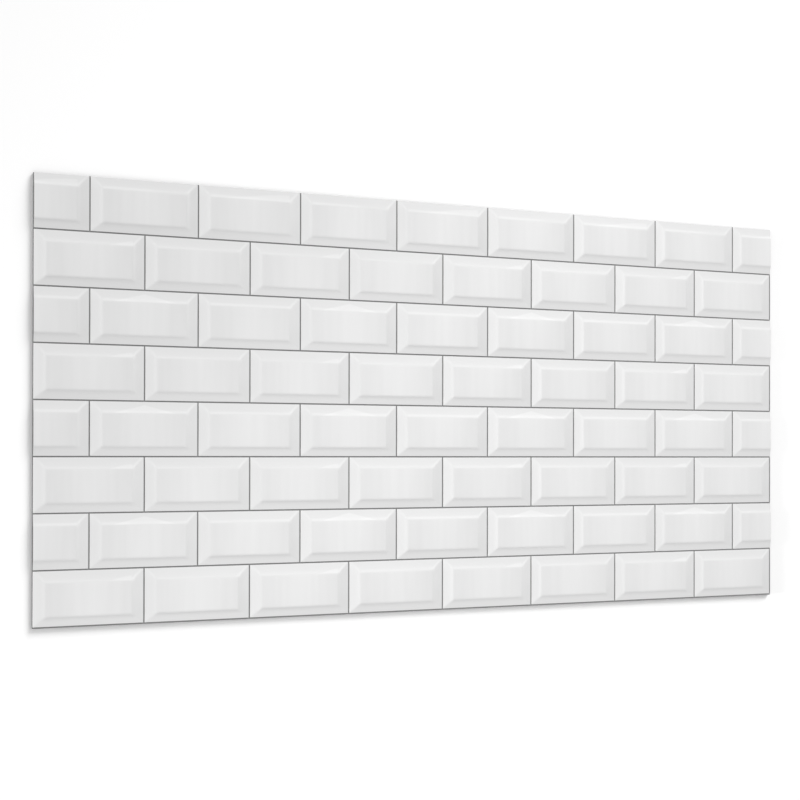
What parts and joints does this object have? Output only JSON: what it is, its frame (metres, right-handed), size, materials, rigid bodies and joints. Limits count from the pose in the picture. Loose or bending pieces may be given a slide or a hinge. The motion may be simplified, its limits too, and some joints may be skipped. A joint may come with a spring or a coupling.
{
  "type": "self-adhesive wall panel",
  "caption": "Rigid white wall panel with an adhesive back and a moulded face of bevelled metro tiles in running bond with dark grey joints.",
  "frame": {"origin": "middle of the flat back, which rests on the floor", "axes": "+X along the tile rows, +Y towards the panel's upper edge on the wall, +Z out of the tiled face"},
  "size_m": [1.2, 0.6, 0.008],
  "materials": {
    "tile_panel": "gloss"
  },
  "bodies": {
    "root": {"tile_panel": "tile_panel"}
  },
  "joints": []
}
